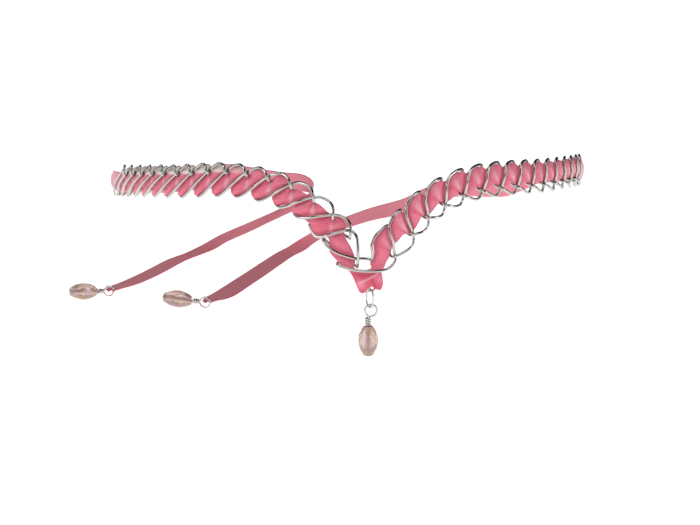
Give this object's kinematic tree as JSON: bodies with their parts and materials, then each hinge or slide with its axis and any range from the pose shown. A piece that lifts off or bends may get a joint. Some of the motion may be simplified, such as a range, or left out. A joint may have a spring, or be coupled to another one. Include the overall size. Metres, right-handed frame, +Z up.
{
  "type": "ribbon crown",
  "caption": "Headband of looped silver wire with a satin ribbon threaded through it, dipping to a beaded drop in front, with loose beaded ribbon ends behind.",
  "frame": {"origin": "centre of the ring, at the level of the band's sides", "axes": "+Z up when worn, -Y towards the front with the drop, +X to the right seen from the front"},
  "size_m": [0.1695, 0.1937, 0.053],
  "materials": {
    "silver_wire": "polished silver wire",
    "satin": "satin ribbon, rose",
    "satin_tail": "satin ribbon, rose, in shade",
    "crystal": "faceted crystal, smoky rose"
  },
  "bodies": {
    "band": {"coil_wire": "silver_wire", "woven_ribbon": "satin", "left_tail": "satin_tail", "right_tail": "satin_tail", "front_ring": "silver_wire", "left_tail_wire": "silver_wire", "left_tail_bead": "crystal", "right_tail_wire": "silver_wire", "right_tail_bead": "crystal"},
    "link": {"front_link": "silver_wire"},
    "drop": {"drop_wire": "silver_wire", "drop_bead": "crystal"}
  },
  "joints": [
    {"name": "link_swing", "type": "hinge", "parent": "band", "child": "link", "pos_m": [0.00019, -0.09475, -0.02137], "axis": [0.891, 0.454, 0], "range_deg": [-40, 40]},
    {"name": "drop_swing", "type": "hinge", "parent": "link", "child": "drop", "pos_m": [0.00019, -0.09475, -0.02577], "axis": [-0.454, 0.891, 0], "range_deg": [-45, 45]}
  ]
}
